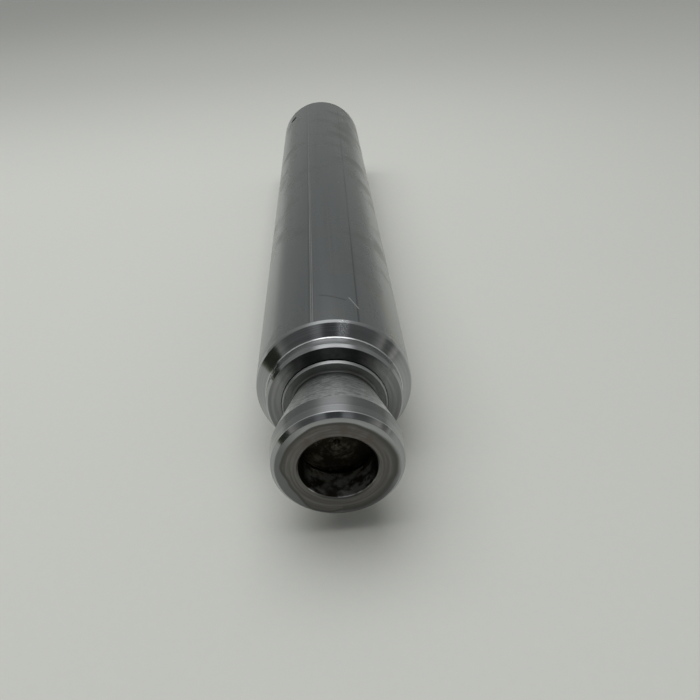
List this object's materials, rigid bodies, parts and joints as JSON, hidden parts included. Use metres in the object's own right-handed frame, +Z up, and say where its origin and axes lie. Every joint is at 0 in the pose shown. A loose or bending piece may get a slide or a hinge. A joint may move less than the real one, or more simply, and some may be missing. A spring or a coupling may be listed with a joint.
{
  "type": "telescopic hydraulic cylinder",
  "caption": "Closed telescopic ram: a plain drawn barrel, a short bevelled stage nose and a necked plunger head with a blind round socket.",
  "frame": {"origin": "centre of the flat rear face, on the cylinder axis", "axes": "-Y along the axis from the rear face to the head, +Y out of the rear face, +Z up as the cylinder lies on its side"},
  "size_m": [0.07, 0.4636, 0.07],
  "materials": {
    "drawn_tube": "cold-drawn tube, satin, with lengthwise draw lines",
    "turned_steel": "lathe-turned, fine circular tool marks",
    "hard_chrome": "ground and polished",
    "black_rubber": "moulded nitrile",
    "seal_polyurethane": "moulded polyurethane",
    "wiper_polyurethane": "moulded polyurethane",
    "backup_plastic": "machined",
    "guide_phenolic": "fabric-reinforced phenolic strip",
    "black_oxide": "black oxide"
  },
  "bodies": {
    "barrel": {"barrel_tube": "drawn_tube", "rear_end_cap": "turned_steel", "end_cap_o_ring": "black_rubber", "barrel_wiper": "wiper_polyurethane", "barrel_rod_seal": "seal_polyurethane", "barrel_backup_ring": "backup_plastic", "barrel_guide_ring": "guide_phenolic"},
    "stage_1_slider": {"stage_1_wear_ring": "guide_phenolic"},
    "stage_1": {"stage_1_tube": "hard_chrome", "stage_1_foot": "turned_steel", "stage_1_foot_lock_screw": "black_oxide", "stage_1_gland": "turned_steel", "stage_1_gland_o_ring": "black_rubber", "stage_1_wiper": "wiper_polyurethane", "stage_1_rod_seal": "seal_polyurethane", "stage_1_backup_ring": "backup_plastic", "stage_1_guide_ring": "guide_phenolic"},
    "plunger_slider": {"plunger_wear_ring": "guide_phenolic"},
    "plunger": {"plunger_tube": "hard_chrome", "plunger_foot": "turned_steel", "plunger_foot_lock_screw": "black_oxide", "plunger_head": "turned_steel", "plunger_head_o_ring": "black_rubber"}
  },
  "joints": [
    {"name": "stage_1_extend", "type": "slide", "parent": "barrel", "child": "stage_1_slider", "axis": [0, -1, 0], "range_m": [0, 0.304]},
    {"name": "stage_1_turn", "type": "hinge", "parent": "stage_1_slider", "child": "stage_1", "pos_m": [0, -0.2, 0], "axis": [0, -1, 0], "continuous": true},
    {"name": "plunger_extend", "type": "slide", "parent": "stage_1", "child": "plunger_slider", "axis": [0, -1, 0], "range_m": [0, 0.28]},
    {"name": "plunger_turn", "type": "hinge", "parent": "plunger_slider", "child": "plunger", "pos_m": [0, -0.3, 0], "axis": [0, -1, 0], "continuous": true}
  ]
}
